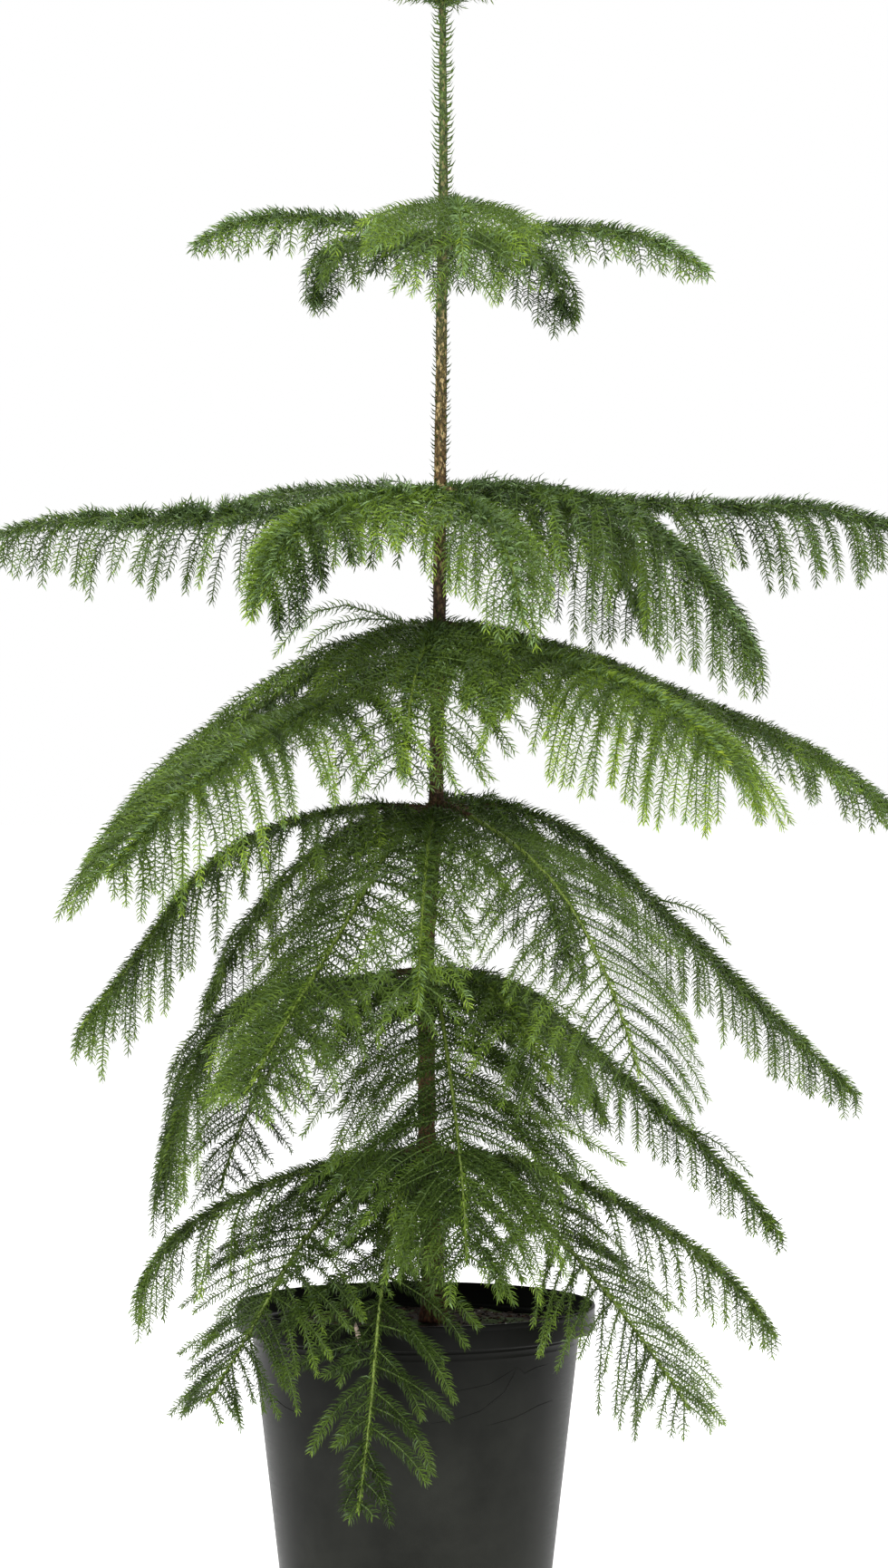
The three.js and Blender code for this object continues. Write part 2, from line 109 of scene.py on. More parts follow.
# A whorl is (height, length of its boughs, looks, branches). Its looks are how light its needles are (0 to
# 1), how long those of its twigs and branches are, how many the branches have, and how many on the crests
# take a greyer green, a painted sheen of the sky. A branch is (heading, length, its pitches at even steps,
# habit, longest twig), and if its looks differ, how much wider its twigs are spaced, how many needles they
# have, how much lighter it is.
WHORLS = {
    "tier_1": (351, 44, (0.36, 0.92, 0.92, 0.8, 0.2), dict(
        left=(187, 264, (4, -16, -29, -68), "comb", 116, 1.2, 0.95, 0.06),
        front_left=(221, 290, (-5, -38, -54, -48), "fern", 112, 1, 1.5, -0.04),
        front=(257, 350, (5, -45, -72, -56), "open", 76, 1, 1.8, -0.1),
        front_right=(327, 306, (-10, -38, -46, -52), "fern", 118, 1, 1.2, 0.06),
        right=(352, 316, (6, -22, -32, -58), "comb", 94, 1.2, 0.95, 0.06),
        back=(95, 330, (0, -30, -40, -60), "comb", 74),
    )),
    "tier_2": (489, 46, (0.37, 0.92, 0.95, 0.85, 0.22), dict(
        front_left=(192, 298, (-3, -3, -67, -79), "arch", 116, 1, 1.25, 0),
        front=(279, 300, (-5, -46, -52, -80), "frond", 122, 0.9, 1.3, 0),
        front_right=(308, 180, (14, -12, -42, -55), "arch", 76, 1, 1, 0.08),
        right=(350, 354, (1, -42, -40, -54), "comb", 74, 1.1, 1, 0),
        back_right=(55, 300, (5, -20, -38, -50), "comb", 66),
        back_left=(143, 300, (0, -34, -54, -74), "fern", 92),
    )),
    "tier_3": (621, 46, (0.41, 0.92, 0.95, 0.85, 0.4), dict(
        left=(195, 348, (8, -17, -54, -50), "shield", 104, 1.25, 0.95, 0.04),
        front_left=(238, 336, (-22, -44, -40, -46), "frond", 96, 1, 1, 0.04),
        front=(267, 290, (-8, -20, -40, -60), "arch", 72, 1.6, 1, 0),
        front_right=(305, 342, (-12, -24, -50, -66), "fan", 112, 1, 1.1, 0),
        right=(355, 410, (12, -42, -44, -43), "comb", 92, 0.95, 1, 0),
        back_right=(65, 330, (6, -20, -40, -60), "comb", 80),
        back_left=(152, 280, (-2, -30, -50, -65), "comb", 80),
    )),
    "tier_4": (760, 0, (0.45, 1, 1, 1, 0.7), dict(
        front_left=(212, 348, (-42, -20, -34, -48), "sweep", 170, 0.88, 1.1, 0.08),
        front=(260, 204, (-12, -24, -48, -68), "sweep", 106),
        front_right=(323, 292, (-12, -14, -20, -50), "shield", 136, 1, 1.25, 0.18),
        right=(8, 400, (-8, -21, -22, -40), "sweep", 122),
        back=(80, 300, (0, -5, -12, -30), "comb", 62),
        back_left=(155, 322, (-6, -29, -35, -47), "sweep", 112),
    )),
    "tier_5": (864, 0, (0.4, 1.04, 1, 1, 1), dict(
        left=(183, 366, (-1, -9, 3, -22), "comb", 100),
        front_left=(238, 274, (-6, -8, -18, -74), "claw", 82, 1, 1.2, 0.2),
        front=(285, 272, (-6, -10, -30, -65), "comb", 80, 1, 1, 0.1),
        front_right=(334, 312, (-2, -6, -42, -60), "comb", 134, 0.92, 1.1, 0),
        right=(2, 385, (5, -6, 2, -27), "comb", 110, 0.9, 1.15, -0.04),
        back_right=(52, 300, (8, 0, -30, -60), "comb", 130),
        back_left=(130, 252, (10, 5, 0, -4), "comb", 50),
    )),
    "tier_6": (1060, 0, (0.46, 1.1, 1, 1, 1), dict(
        left=(198, 207, (23, 5, -4, -37), "comb", 50),
        front=(275, 205, (15, 9, -25, -85), "fan", 84, 1, 1, 0.06),
        right=(342, 221, (8, 6, -12, -40), "comb", 50),
        # Painted shade: these two rear branches are darker, for they stand behind in shade.
        back_right=(53, 190, (10, 4, -18, -85), "comb", 66, 1, 1.25, -0.16),
        back_left=(124, 208, (10, 8, 2, -90), "comb", 58, 1, 1.25, -0.14),
    )),
    "tier_7": (1250, 0, (0.5, 1, 0.75, 1, 1), {
        place: (heading, length, (30, 22, 15, 5), "young", 32)
        for place, heading, length in (
            ("left", 190, 90), ("front", 262, 90), ("front_right", 334, 85), ("back_right", 46, 90),
            ("back_left", 118, 85),
        )
    }),
}
YOUNG_WHORL = "tier_7"
PLAIN_LOOK = (1, 1, 0)

POT_MARGIN = 7  # how far a limb that meets the pot passes over or outside it
TRUNK_KEPT_CLEAR = 1.5  # from the trunk's bark to a twig that passes it
POT_KEPT_CLEAR = 15  # how far in from the pot's outside no needle is kept
FOOT_DEPTH = 0.4  # share of the trunk's radius where a branch's path starts
STAGGER = 6  # every other branch of a whorl leaves the trunk this much higher
STEEPEST = -88  # no twig hangs steeper than this
# How much twigs differ: in degrees, millimetres along the branch, and shares of their droop and length.
LEAVE_SPREAD = 10
PLACE_SPREAD = 0.9
DROOP_MEAN, DROOP_SPREAD = 0.92, 0.2
LENGTH_MEAN, LENGTH_SPREAD = 0.93, 0.17

# --- What the scene carries to finer twigs and needles ---

BRANCH_STEPS = 36
TWIG_STEPS = 5
TWIGS_FROM = 0.03  # share of a branch that stays bare next to the trunk or its bough
TWIGS_TO = 0.985
BOUGH_CLOTHED = 0.12  # share of a bough that has no twigs yet
TWIG_RADII = np.linspace(0.8, 0.4, TWIG_STEPS + 1)
TWIG_SIDES = 3
# A branch's axis: its radius along it, how slim a young one is beside it, and how far it is brown.
AXIS_FOOT, AXIS_TIP = 2.7, 0.7
AXIS_RADII = AXIS_FOOT + (AXIS_TIP - AXIS_FOOT) * np.linspace(0, 1, BRANCH_STEPS + 1) ** 0.7
AXIS_SIDES = 6
YOUNG_AXIS = 0.5
BROWN_UNTIL = 0.12
TIP_LIGHT = 0.25  # how much lighter a twig's end is than its foot
# A branch whose end curls over: its left twigs there get painted shade, darker needles, and its right ones
# are shorter.
HOLLOW = Table(branch="tier_5_front_left", beyond=0.6, light=-0.6, right_twigs=0.74)
TUFTS = Table(spacing=6.5, until=0.96, turn=(25, 75), rise=(-15, 40), length=(14, 30))
TUFT_TAPER = 0.4  # how much shorter the tufts are at the branch's tip
TUFT_DROOP = np.array((0, 20, 45))
# Single twigs that stand out of a branch's crest: foot, heading, length and pitches.
STRAYS = {
    "tier_4_front_left": (
        ((-10, -26, 765), 184, 116, (24, 14, -38, -58)),
        ((-10, -8, 768), 182, 88, (6, 0, -28, -52)),
    ),
    "tier_3_right": (((190, -30, 551), 351, 64, (-8, -20, -44, -58)),),
    "tier_2_right": (((196, -30, 378), 350, 76, (-8, -22, -42, -50)),),
}
# Round tufts on the crest of a branch, at these shares of it.
POMPOMS = {"tier_5_left": (0.42, 0.46, 0.505, 0.545, 0.565, 0.645)}
POMPOM = Table(twigs=14, spread=0.009, length=(9, 17), rise=(20, 90))
GOLDEN_ANGLE = math.radians(137.5)

# How needles stand on each kind of shoot. Angles are from the shoot, at the needle's foot and at its point.
NEEDLES = {
    "twig": Table(per_mm=1.25, length=9.0, leave=68, end=34, width=0.98),
    "branch": Table(per_mm=2.8, length=10.5, leave=66, end=38, width=1.1),
    "rachis": Table(per_mm=2.0, length=5.8, leave=54, end=28, width=1.15),
    "leader": Table(per_mm=1.3, length=10.5, leave=72, end=36, width=1.5),
    "trunk": Table(per_mm=1.25, length=7.0, leave=66, end=40, width=1.15),
}
NEEDLE_SPREAD = Table(turn=0.15, length=(0.84, 1.12), leave=4, end=5, width=(0.88, 1.12))
# Towards a shoot's tip its needles get shorter and close up, by a share and in degrees.
CLOSING = Table(beyond=0.8, shorter=0.35, leave=34, end=8)
# A needle is a sickle, turned half on its side: two corners at its foot, two at its bend, and its point.
NEEDLE_FACES = np.array([(0, 1, 3), (0, 3, 2), (2, 3, 4)])
NEEDLE_TURN = math.radians(40)
NEEDLE_MIDDLE = 0.5  # share of a needle's length where it is widest and bends
FEWEST_NEEDLES = 3  # on a shoot
FIRST_NEEDLE = 0.6  # where the first one stands, in steps between them
NEEDLE_SUNK = 0.6  # share of the shoot's radius where a needle starts

# Needle colours, darkest first, as sRGB, each with the record's slot that it belongs to.
TONES = {
    "deep": ("#22300d", "foliage_dark"),
    "shade": ("#334518", "foliage_dark"),
    "middle": ("#4c6222", "foliage"),
    "leaf": ("#67802b", "foliage"),
    "light": ("#86a035", "foliage_bright"),
    "fresh": ("#a5ba40", "foliage_bright"),
}
# The greyer greens on top of the branches, a painted sheen of the white sky on their upper needles, in the
# same way.
CREST_SHEEN_TONES = {
    "crest_deep": ("#3a4c30", "foliage_dark"),
    "crest": ("#5b7146", "foliage"),
    "crest_light": ("#7f9a64", "foliage"),
}
MOST_TRIANGLES = 190000  # in one joined piece

rng = np.random.default_rng(23)


# --- Paths ---


def trunk_radius(z):
    return np.interp(z, TRUNK[:, 0], TRUNK[:, 2])


def trunk_lean(z):
    """Eases from one row's lean to the next, as the part's trunk does."""
    z = np.clip(z, TRUNK[0, 0], TRUNK[-1, 0])
    row = np.clip(np.searchsorted(TRUNK[:, 0], z, side="right") - 1, 0, len(TRUNK) - 2)
    low, high = TRUNK[row], TRUNK[row + 1]
    share = (z - low[..., 0]) / (high[..., 0] - low[..., 0])
    ease = share * share * (3 - 2 * share)
    return low[..., 1] + (high[..., 1] - low[..., 1]) * ease


def wall_radius(z):
    """The outside of the pot's wall below its rim band."""
    return np.interp(z, (0, BAND_FOOT), (POT.foot_radius, POT.neck_radius))


def pot_radius(z):
    return np.where(z > BAND_FOOT, POT.rim_radius, wall_radius(z))


def clear_of_pot(points):
    """Moves points out of the pot, over its rim or through its side, whichever is nearer."""
    x, y, z = points.T
    radius = np.hypot(x, y)
    up = POT.height + POT_MARGIN - z
    out = pot_radius(z) + POT_MARGIN - radius
    inside = (up > 0) & (out > 0)
    scale = np.where(inside & (up >= out), (radius + out) / np.maximum(radius, 1), 1)
    return np.stack([x * scale, y * scale, z + np.where(inside & (up < out), up, 0)], 1)


def polar(radius, angle, height=0.0):
    """Points at a distance from the upright axis, in a direction in radians, at a height."""
    return np.stack(np.broadcast_arrays(radius * np.cos(angle), radius * np.sin(angle), height), -1)


def shoots(starts, headings, lengths, pitches, steps):
    """Paths in upright planes, many at once: their points, and the level direction square to each plane."""
    angle = np.radians(headings)
    reach = np.array(lengths)[:, None] / steps
    pitches = np.array(pitches)
    points = [np.array(starts)]
    for step in range(steps):
        place = (step + 0.5) / steps * (pitches.shape[1] - 1)
        row = int(place)
        pitch = np.radians(pitches[:, row] + (pitches[:, row + 1] - pitches[:, row]) * (place - row))
        points.append(clear_of_pot(points[-1] + polar(np.cos(pitch), angle, np.sin(pitch)) * reach))
    side = np.stack([-np.sin(angle), np.cos(angle), np.zeros_like(angle)], 1)
    return np.stack(points, 1), side


def along_paths(points, owner, share):
    """Place and direction at a share of the way along paths, by their numbers or along one of them."""
    steps = points.shape[1] - 1
    place = np.clip(share, 0, 1) * steps
    row = np.minimum(place.astype(int), steps - 1)
    low, high = points[owner, row], points[owner, row + 1]
    before = points[owner, np.maximum(row - 1, 0)]
    after = points[owner, np.minimum(row + 2, steps)]
    part = (place - row)[:, None]
    direction = unit((high - before) * (1 - part) + (after - low) * part)
    return low + (high - low) * part, direction


def unit(vectors):
    return vectors / np.maximum(np.linalg.norm(vectors, axis=-1, keepdims=True), 1e-9)


# --- Meshes ---


def linked(name, data):
    """A new object in the scene."""
    thing = bpy.data.objects.new(name, data)
    bpy.context.scene.collection.objects.link(thing)
    return thing


def mesh_object(name, vertices, triangles, material, smooth=True):
    """An object from vertices, in millimetres, and triangles."""
    mesh = bpy.data.meshes.new(name)
    count = len(triangles)
    mesh.vertices.add(len(vertices))
    mesh.vertices.foreach_set("co", (vertices * MM).astype(np.float32).ravel())
    mesh.loops.add(count * 3)
    mesh.loops.foreach_set("vertex_index", triangles.astype(np.int32).ravel())
    mesh.polygons.add(count)
    mesh.polygons.foreach_set("loop_start", np.arange(0, count * 3, 3, dtype=np.int32))
    mesh.polygons.foreach_set("use_smooth", np.full(count, smooth))
    mesh.update(calc_edges=True)
    mesh.materials.append(material)
    return linked(name, mesh)


def dress(thing, slot, *replaced):
    """What a piece rides on, its slot in the record, which is not used, and the nodes that it stands for."""
    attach(thing, "root")
    if replaced:
        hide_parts(*replaced)


def joined(parts):
    """One pair of arrays from several (vertices, triangles)."""
    starts = np.cumsum([0] + [len(vertices) for vertices, _ in parts[:-1]])
    vertices = np.concatenate([vertices for vertices, _ in parts])
    triangles = np.concatenate([faces + start for (_, faces), start in zip(parts, starts)])
    return vertices, triangles


def copies(shape, faces):
    """Joined copies of one shape: shape is (copies, corners, 3), faces the triangles of a single one."""
    count, corners = shape.shape[:2]
    triangles = faces[None] + (np.arange(count) * corners)[:, None, None]
    return shape.reshape(-1, 3), triangles.reshape(-1, 3)


def tubes(points, side, radii, sides):
    """Closed tubes along paths, with a radius for each point of a path, or for each corner round it."""
    count, rings = points.shape[:2]
    ahead = unit(np.gradient(points, axis=1))
    across = np.broadcast_to(side.reshape(count, -1, 3), points.shape)
    upward = np.cross(ahead, across)
    turn = round_angles(sides)[:, None]
    circle = across[:, :, None] * np.cos(turn) + upward[:, :, None] * np.sin(turn)
    shape = points[:, :, None] + circle * radii.reshape(count, rings, -1, 1)
    return copies(shape.reshape(count, rings * sides, 3), tube_faces(rings, sides))


def tube_faces(rings, sides):
    fan = np.arange(1, sides - 1)
    end = (rings - 1) * sides
    ends = [np.stack([0 * fan, fan, fan + 1], 1), np.stack([end + 0 * fan, end + fan + 1, end + fan], 1)]
    return np.concatenate([bands(rings, sides), *ends])


def bands(rings, sides):
    """The triangles between rings of corners that are numbered ring by ring."""
    here = np.arange(sides)
    following = (here + 1) % sides
    low = np.stack([here, sides + following, following], 1)
    high = np.stack([here, sides + here, sides + following], 1)
    steps = np.arange(rings - 1) * sides
    return (np.concatenate([low, high]) + steps[:, None, None]).reshape(-1, 3)


def round_angles(sides):
    return np.arange(sides) * 2 * math.pi / sides


def capped(rings, foot, top):
    """A closed body from rings of corners, lowest first, with a point in the middle of each end."""
    count, sides = rings.shape[:2]
    here = np.arange(sides)
    following = (here + 1) % sides
    pole, end = count * sides, (count - 1) * sides
    low = np.stack([pole + 0 * here, following, here], 1)
    high = np.stack([pole + 1 + 0 * here, end + here, end + following], 1)
    faces = np.concatenate([bands(count, sides)[:, (0, 2, 1)], low, high])
    return np.concatenate([rings.reshape(-1, 3), [foot, top]]), faces


def needles(points, side, lengths, kind, radius, size=1.0, flat=1.0, fuller=1.0):
    """Needles in a spiral round shoots: their corners, the shoot of each and its share along it."""
    rule = NEEDLES[kind]
    counts = np.maximum(np.round(lengths * rule.per_mm * fuller / size).astype(int), FEWEST_NEEDLES)
    owner = np.repeat(np.arange(len(counts)), counts)
    number = np.arange(len(owner)) - np.repeat(np.cumsum(counts) - counts, counts)
    share = (number + FIRST_NEEDLE) / counts[owner]
    foot, ahead = along_paths(points, owner, share)
    across = side[owner]
    upward = unit(np.cross(ahead, across))
    turn = number * GOLDEN_ANGLE + rng.uniform(0, 2 * math.pi, len(counts))[owner]
    turn += rng.normal(0, NEEDLE_SPREAD.turn, len(owner))
    out = unit(across * np.cos(turn)[:, None] + upward * (flat * np.sin(turn))[:, None])
    width_way = np.cross(ahead, out)
    length = size * rule.length * rng.uniform(*NEEDLE_SPREAD.length, len(owner))
    closing = np.clip((share - CLOSING.beyond) / (1 - CLOSING.beyond), 0, 1)
    length *= 1 - CLOSING.shorter * closing
    leave, end = (
        np.radians(rule[key] + rng.normal(0, NEEDLE_SPREAD[key], len(owner)) - CLOSING[key] * closing)
        for key in ("leave", "end")
    )
    half = size * rule.width / 2 * rng.uniform(*NEEDLE_SPREAD.width, len(owner))

    def way(angle):
        return ahead * np.cos(angle)[:, None] + out * np.sin(angle)[:, None]

    foot = foot + out * (radius[owner] * NEEDLE_SUNK)[:, None]
    middle = foot + way(leave) * (length * NEEDLE_MIDDLE)[:, None]
    point = middle + way(end) * (length * (1 - NEEDLE_MIDDLE))[:, None]
    hand = np.where(number % 2 == 0, 1, -1)[:, None]
    edge = np.stack([ahead, np.cross(way((leave + end) / 2), width_way)], 1)
    edge = edge * math.cos(NEEDLE_TURN) + (width_way * hand)[:, None] * math.sin(NEEDLE_TURN)
    low, high = (edge * half[:, None, None]).transpose(1, 0, 2)
    corners = np.stack([foot + low, foot - low, middle + high, middle - high, point], 1)
    clear = ~in_pot(point) & ~in_pot(middle)
    return corners[clear], owner[clear], share[clear]


def in_pot(points):
    """Which points are in the pot's wall or close inside it."""
    inward = pot_radius(points[:, 2]) - np.hypot(points[:, 0], points[:, 1])
    return (points[:, 2] < POT.height) & (inward > 0) & (inward < POT_KEPT_CLEAR)


# --- Materials ---


def linear(hexcode):
    """A linear colour from an sRGB one."""
    values = [int(hexcode[i : i + 2], 16) / 255 for i in (1, 3, 5)]
    return tuple(v / 12.92 if v <= 0.04045 else ((v + 0.055) / 1.055) ** 2.4 for v in values) + (1.0,)


class Nodes:
    """A material's node tree, with short ways to add what the materials here share."""

    def __init__(self, name, roughness, specular=0.5):
        self.material = bpy.data.materials.new(name)
        self.material.use_nodes = True
        self.tree = self.material.node_tree
        self.shader = self.tree.nodes["Principled BSDF"]
        self.shader.inputs["Roughness"].default_value = roughness
        self.shader.inputs["Specular IOR Level"].default_value = specular
        self.place = self.add("TexCoord").outputs["Object"]

    def add(self, kind, inputs=None, **settings):
        """A node with these settings, and with its inputs filled."""
        node = self.tree.nodes.new("ShaderNode" + kind)
        for key, value in settings.items():
            setattr(node, key, value)
        for key, value in (inputs or {}).items():
            self.fill(node.inputs[key], value)
        return node

    def fill(self, socket, value):
        """Links a socket to a node's output, or sets it to a number, a vector or a hexcode."""
        if isinstance(value, bpy.types.NodeSocket):
            self.tree.links.new(value, socket)
        else:
            socket.default_value = linear(value) if isinstance(value, str) else value

    def stretched(self, scale):
        return self.add("Mapping", {"Scale": scale, "Vector": self.place}).outputs["Vector"]

    def noise(self, scale, detail=3, place=None, roughness=0.5):
        inputs = {"Scale": scale, "Detail": detail, "Roughness": roughness, "Vector": place or self.place}
        return self.add("TexNoise", inputs).outputs["Fac"]

    def ramp(self, value, stops):
        """Colours or greys over a value: stops are (value, hexcode or grey)."""
        node = self.add("ValToRGB", {"Fac": value})
        elements = node.color_ramp.elements
        while len(elements) < len(stops):
            elements.new(0.5)
        for element, (place, colour) in zip(elements, stops):
            element.position = place
            element.color = linear(colour) if isinstance(colour, str) else (colour, colour, colour, 1)
        return node.outputs["Color"]

    def mix(self, share, one, other, blend="MIX"):
        node = self.add("Mix", data_type="RGBA", blend_type=blend)
        for name, value in (("Factor", share), ("A", one), ("B", other)):
            self.fill(next(end for end in node.inputs if end.name == name and end.enabled), value)
        return next(end for end in node.outputs if end.enabled)

    def times(self, one, other):
        return self.mix(1.0, one, other, "MULTIPLY")

    def map(self, value, low, high, from_low=0.0, from_high=1.0):
        inputs = {"Value": value, "From Min": from_low, "From Max": from_high, "To Min": low, "To Max": high}
        return self.add("MapRange", inputs).outputs["Result"]

    def height(self):
        """Height above the floor, in metres."""
        return self.add("SeparateXYZ", {"Vector": self.place}).outputs["Z"]

    def island(self):
        """A random value for each loose piece of the mesh."""
        return self.add("NewGeometry").outputs["Random Per Island"]

    def finished(self, colour, rough=None, bump=None, distance=0.0, strength=1.0):
        """The material, with its colour, its roughness where that varies, and its relief."""
        self.fill(self.shader.inputs["Base Color"], colour)
        if rough:
            self.fill(self.shader.inputs["Roughness"], rough)
        if bump:
            node = self.add("Bump", {"Distance": distance, "Strength": strength, "Height": bump})
            self.fill(self.shader.inputs["Normal"], node.outputs["Normal"])
        return self.material


def needle_material(name, hexcode):
    nodes = Nodes(name, roughness=0.46, specular=0.16)
    shade = nodes.map(nodes.island(), 0.82, 1.18)
    fine = nodes.map(nodes.noise(420, 2), 0.9, 1.1, 0.3, 0.7)
    colour = nodes.times(nodes.times(hexcode, shade), fine)
    return nodes.finished(colour, nodes.map(nodes.noise(160, 2), 0.36, 0.52))


def shoot_material(name, pale, dark):
    """A young shoot: a green or brown skin with the paler streaks of its leaf bases."""
    nodes = Nodes(name, roughness=0.5)
    patches = nodes.noise(900, 3)
    colour = nodes.ramp(patches, [(0.35, dark), (0.65, pale)])
    return nodes.finished(colour, nodes.map(patches, 0.42, 0.62), nodes.noise(1400, 2), 0.0003, 0.6)


# Bark colours between two heights in metres, by the share of the way up.
BARK_SPAN = (0.22, 1.32)
BARK_TONES = (
    (0.0, "#4a2a1c"), (0.12, "#5a3524"), (0.28, "#4e3424"), (0.5, "#3f3022"), (0.6, "#5f4a2c"),
    (0.68, "#5a4e2a"), (0.72, "#3f4722"), (0.8, "#46552a"), (1.0, "#4b6130"),
)
# Painted shade on the pot's plastic, darker towards the rim: how dark between two heights in metres, in the
# same way.
POT_SPAN = (0.08, 0.24)
POT_SHADE = ((0.3, 0.95), (0.62, 0.66), (0.78, 0.52), (0.95, 0.24))


def bark_material():
    """Red-brown at the foot, dark brown in the crown, then olive with the pale scars of shed needles."""
    nodes = Nodes("bark", roughness=0.8, specular=0.3)
    height = nodes.map(nodes.height(), 0, 1, *BARK_SPAN)
    by_height = nodes.ramp(height, BARK_TONES)
    plates = nodes.noise(260, 4, nodes.stretched((1, 1, 0.45)), 0.62)
    toned = nodes.times(by_height, nodes.ramp(plates, [(0.3, 0.4), (0.5, 1.0), (0.72, 1.6)]))
    cells = {"Scale": 430, "Vector": nodes.stretched((1, 1, 0.5))}
    scars = nodes.add("TexVoronoi", cells, feature="DISTANCE_TO_EDGE").outputs["Distance"]
    seamed = nodes.times(toned, nodes.ramp(scars, [(0.02, 0.35), (0.12, 1.0), (0.4, 1.35)]))
    flecks = nodes.ramp(nodes.noise(420, 2, nodes.stretched((1, 1, 0.5))), [(0.54, 0.0), (0.62, 0.85)])
    where = [(0.0, 0.12), (0.5, 0.2), (0.6, 1.0), (0.69, 0.85), (0.75, 0.35), (1.0, 0.25)]
    colour = nodes.mix(nodes.times(flecks, nodes.ramp(height, where)), seamed, "#bfa878")
    rough = nodes.map(plates, 0.62, 0.92)
    return nodes.finished(colour, rough, nodes.mix(0.5, plates, scars), 0.0009, 0.8)


def pot_material():
    """Satin black moulded plastic, a little dusty, with fine scuffs that run round it, and painted shade
    towards its rim.
    """
    nodes = Nodes("pot_plastic", roughness=0.42, specular=0.06)
    dust = nodes.noise(14, 5, roughness=0.6)
    scuffs = nodes.noise(60, 4, nodes.stretched((1, 1, 9)), 0.7)
    base = nodes.ramp(dust, [(0.35, "#1f201d"), (0.7, "#2c2d29")])
    pale = nodes.ramp(scuffs, [(0.64, 0.0), (0.8, 0.12)])
    dusted = nodes.mix(pale, base, "#3c3d3c")
    # Painted shade: the wall darkens towards the rim.
    shade = nodes.ramp(nodes.map(nodes.height(), 0, 1, *POT_SPAN), POT_SHADE)
    colour = nodes.times(dusted, shade)
    rough = nodes.map(nodes.mix(0.5, dust, scuffs), 0.3, 0.44, 0.3, 0.7)
    return nodes.finished(colour, rough, nodes.noise(1500, 2), 0.0002, 0.35)


def mix_material():
    nodes = Nodes("potting_mix", roughness=0.95, specular=0.2)
    lumps = nodes.noise(180, 5, roughness=0.7)
    soil = nodes.ramp(lumps, [(0.3, "#120e0b"), (0.55, "#2b2018"), (0.75, "#4a3828")])
    moss = nodes.ramp(nodes.noise(38, 3), [(0.52, 0.0), (0.62, 0.8)])
    green = nodes.ramp(nodes.noise(700, 2), [(0.35, "#26361a"), (0.7, "#4d6429")])
    return nodes.finished(nodes.mix(moss, soil, green), None, nodes.noise(520, 4), 0.0015, 0.9)


def crumb_material(name, dark, pale):
    nodes = Nodes(name, roughness=0.9, specular=0.2)
    own = nodes.ramp(nodes.island(), [(0.0, dark), (1.0, pale)])
    grain = nodes.ramp(nodes.noise(500, 3, nodes.stretched((1, 1, 3))), [(0.3, 0.65), (0.7, 1.2)])
    return nodes.finished(nodes.times(own, grain), None, nodes.noise(800, 3), 0.0006, 0.8)


FLOOR_GLOW = 0.75


def floor_material():
    """A pale floor that glows a little, so that it runs into the background."""
    nodes = Nodes("studio_floor", roughness=0.8, specular=0.0)
    nodes.shader.inputs["Emission Color"].default_value = (1, 1, 1, 1)
    nodes.shader.inputs["Emission Strength"].default_value = FLOOR_GLOW
    return nodes.finished(nodes.ramp(nodes.noise(3, 3), [(0.3, "#f4f4f4"), (0.7, "#f9f9f9")]))


# --- Branches and twigs ---


def branch_paths():
    """Every branch of the plant, with its path, in the order of the tables."""
    for tier, (height, bough, looks, rows) in WHORLS.items():
        young = tier == YOUNG_WHORL
        for number, (place, (heading, length, pitches, habit, twig, *own)) in enumerate(rows.items()):
            foot = height + (0 if young else number % 2 * STAGGER)
            away = FOOT_DEPTH * trunk_radius(foot)
            length -= away
            start = polar(away, math.radians(heading), foot) + (trunk_lean(foot), 0, 0)
            points, side = shoots([start], [heading], [length], [pitches], BRANCH_STEPS)
            apart, fuller, lighter = own or PLAIN_LOOK
            yield Table(
                name=f"{tier}_{place}", young=young, habit=Table(PLAIN_HABIT | HABITS[habit]), twig=twig,
                looks=looks, apart=apart, fuller=fuller, lighter=lighter, heading=heading, points=points,
                side=side, length=length, bough=bough, bare=bough / length,
                clothed=BOUGH_CLOTHED * bough / length + TWIGS_FROM,
            )


def side_twigs(branch):
    """The twigs left and right of one branch, by the part's rule at a finer spacing."""
    habit, length, first = branch.habit, branch.length, branch.clothed
    count = int(round((TWIGS_TO - first) * length / (habit.spacing * branch.apart)))
    share = first + (TWIGS_TO - first) * (np.arange(count) + 0.5) / count
    share = np.concatenate([share, share + 0.5 * (TWIGS_TO - first) / count])
    hand = np.repeat((-1, 1), count)
    loose = habit.loose

    def strayed(spread):
        return rng.uniform(-1, 1, 2 * count) * spread * loose

    share = np.clip(share + rng.normal(0, PLACE_SPREAD * loose, 2 * count) / length, first, TWIGS_TO)
    angle = np.radians(np.interp(share, (0, 1), habit.leave) + strayed(LEAVE_SPREAD))
    starts, ahead = along_paths(branch.points, 0, share)
    way = ahead * np.cos(angle)[:, None] + branch.side * (hand * np.sin(angle))[:, None]
    heading = np.degrees(np.arctan2(way[:, 1], way[:, 0]))
    pitch = np.degrees(np.arcsin(way[:, 2])) + habit.rise
    droop = habit.droop * (DROOP_MEAN + strayed(DROOP_SPREAD))
    lengths = branch.twig * np.interp(share, *habit.shares.T) * (LENGTH_MEAN + strayed(LENGTH_SPREAD))
    pitches = np.maximum(pitch[:, None] - droop[:, None] * np.array(habit.bend), STEEPEST)
    curled = share > HOLLOW.beyond if branch.name == HOLLOW.branch else np.zeros(2 * count, bool)
    lengths[(hand < 0) & curled] *= HOLLOW.right_twigs
    twigs = grown(starts, heading, lengths, pitches, crest=0)
    # Painted shade: the needles of these twigs darken towards their ends.
    twigs.light[(hand > 0) & curled] = HOLLOW.light
    off = off_trunk(twigs.points)
    return Table((key, values[off]) for key, values in twigs.items())


